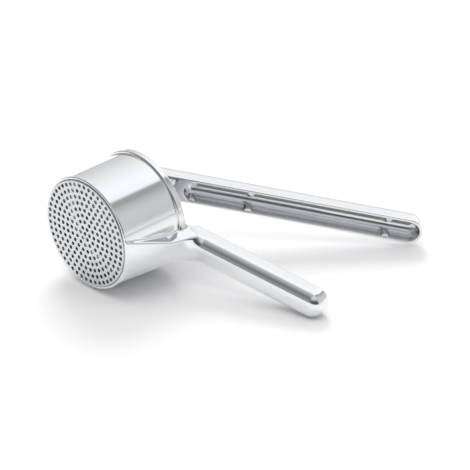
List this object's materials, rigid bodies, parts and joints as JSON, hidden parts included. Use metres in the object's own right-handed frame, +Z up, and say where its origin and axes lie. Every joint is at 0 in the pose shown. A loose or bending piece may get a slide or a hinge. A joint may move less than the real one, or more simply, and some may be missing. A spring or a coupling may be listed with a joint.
{
  "type": "potato ricer",
  "caption": "Hand press with a round cup, a perforated sieve face and two long channel handles; the upper lever drives a plunger plate into the cup.",
  "frame": {"origin": "centre of the bounding box on the table plane that the tool lies on", "axes": "+Y along the cup's axis from the perforated face to the rim, +X towards the tip of the lower handle, +Z up from the table; the tool lies on its rim flange and its lower handle"},
  "size_m": [0.2253, 0.2448, 0.0997],
  "materials": {
    "cast_aluminium": "polished",
    "stainless": "satin",
    "pin_steel": "satin"
  },
  "bodies": {
    "cup": {"hopper": "cast_aluminium", "insert_sleeve": "stainless", "sieve_plate": "stainless", "hinge_pin": "pin_steel", "hinge_ring": "pin_steel"},
    "lever": {"press_lever": "cast_aluminium", "plunger_pin": "pin_steel", "plunger_pin_ring": "pin_steel"},
    "plunger": {"plunger_stem": "cast_aluminium", "plunger_plate": "stainless", "plunger_rivet_1": "pin_steel", "plunger_rivet_2": "pin_steel", "plunger_rivet_3": "pin_steel", "plunger_rivet_4": "pin_steel"}
  },
  "joints": [
    {"name": "lever_hinge", "type": "hinge", "parent": "cup", "child": "lever", "pos_m": [-0.10591, -0.05559, 0.06207], "axis": [0.2361, 0, 0.9717], "range_deg": [-28.2, 16]},
    {"name": "plunger_pivot", "type": "hinge", "parent": "lever", "child": "plunger", "pos_m": [-0.0577, -0.04118, 0.05036], "axis": [0.2361, 0, 0.9717], "range_deg": [-13.37, 23.56]}
  ],
  "couplings": [
    {"joint": "plunger_pivot", "follows": "lever_hinge", "ratio": -0.83501}
  ]
}
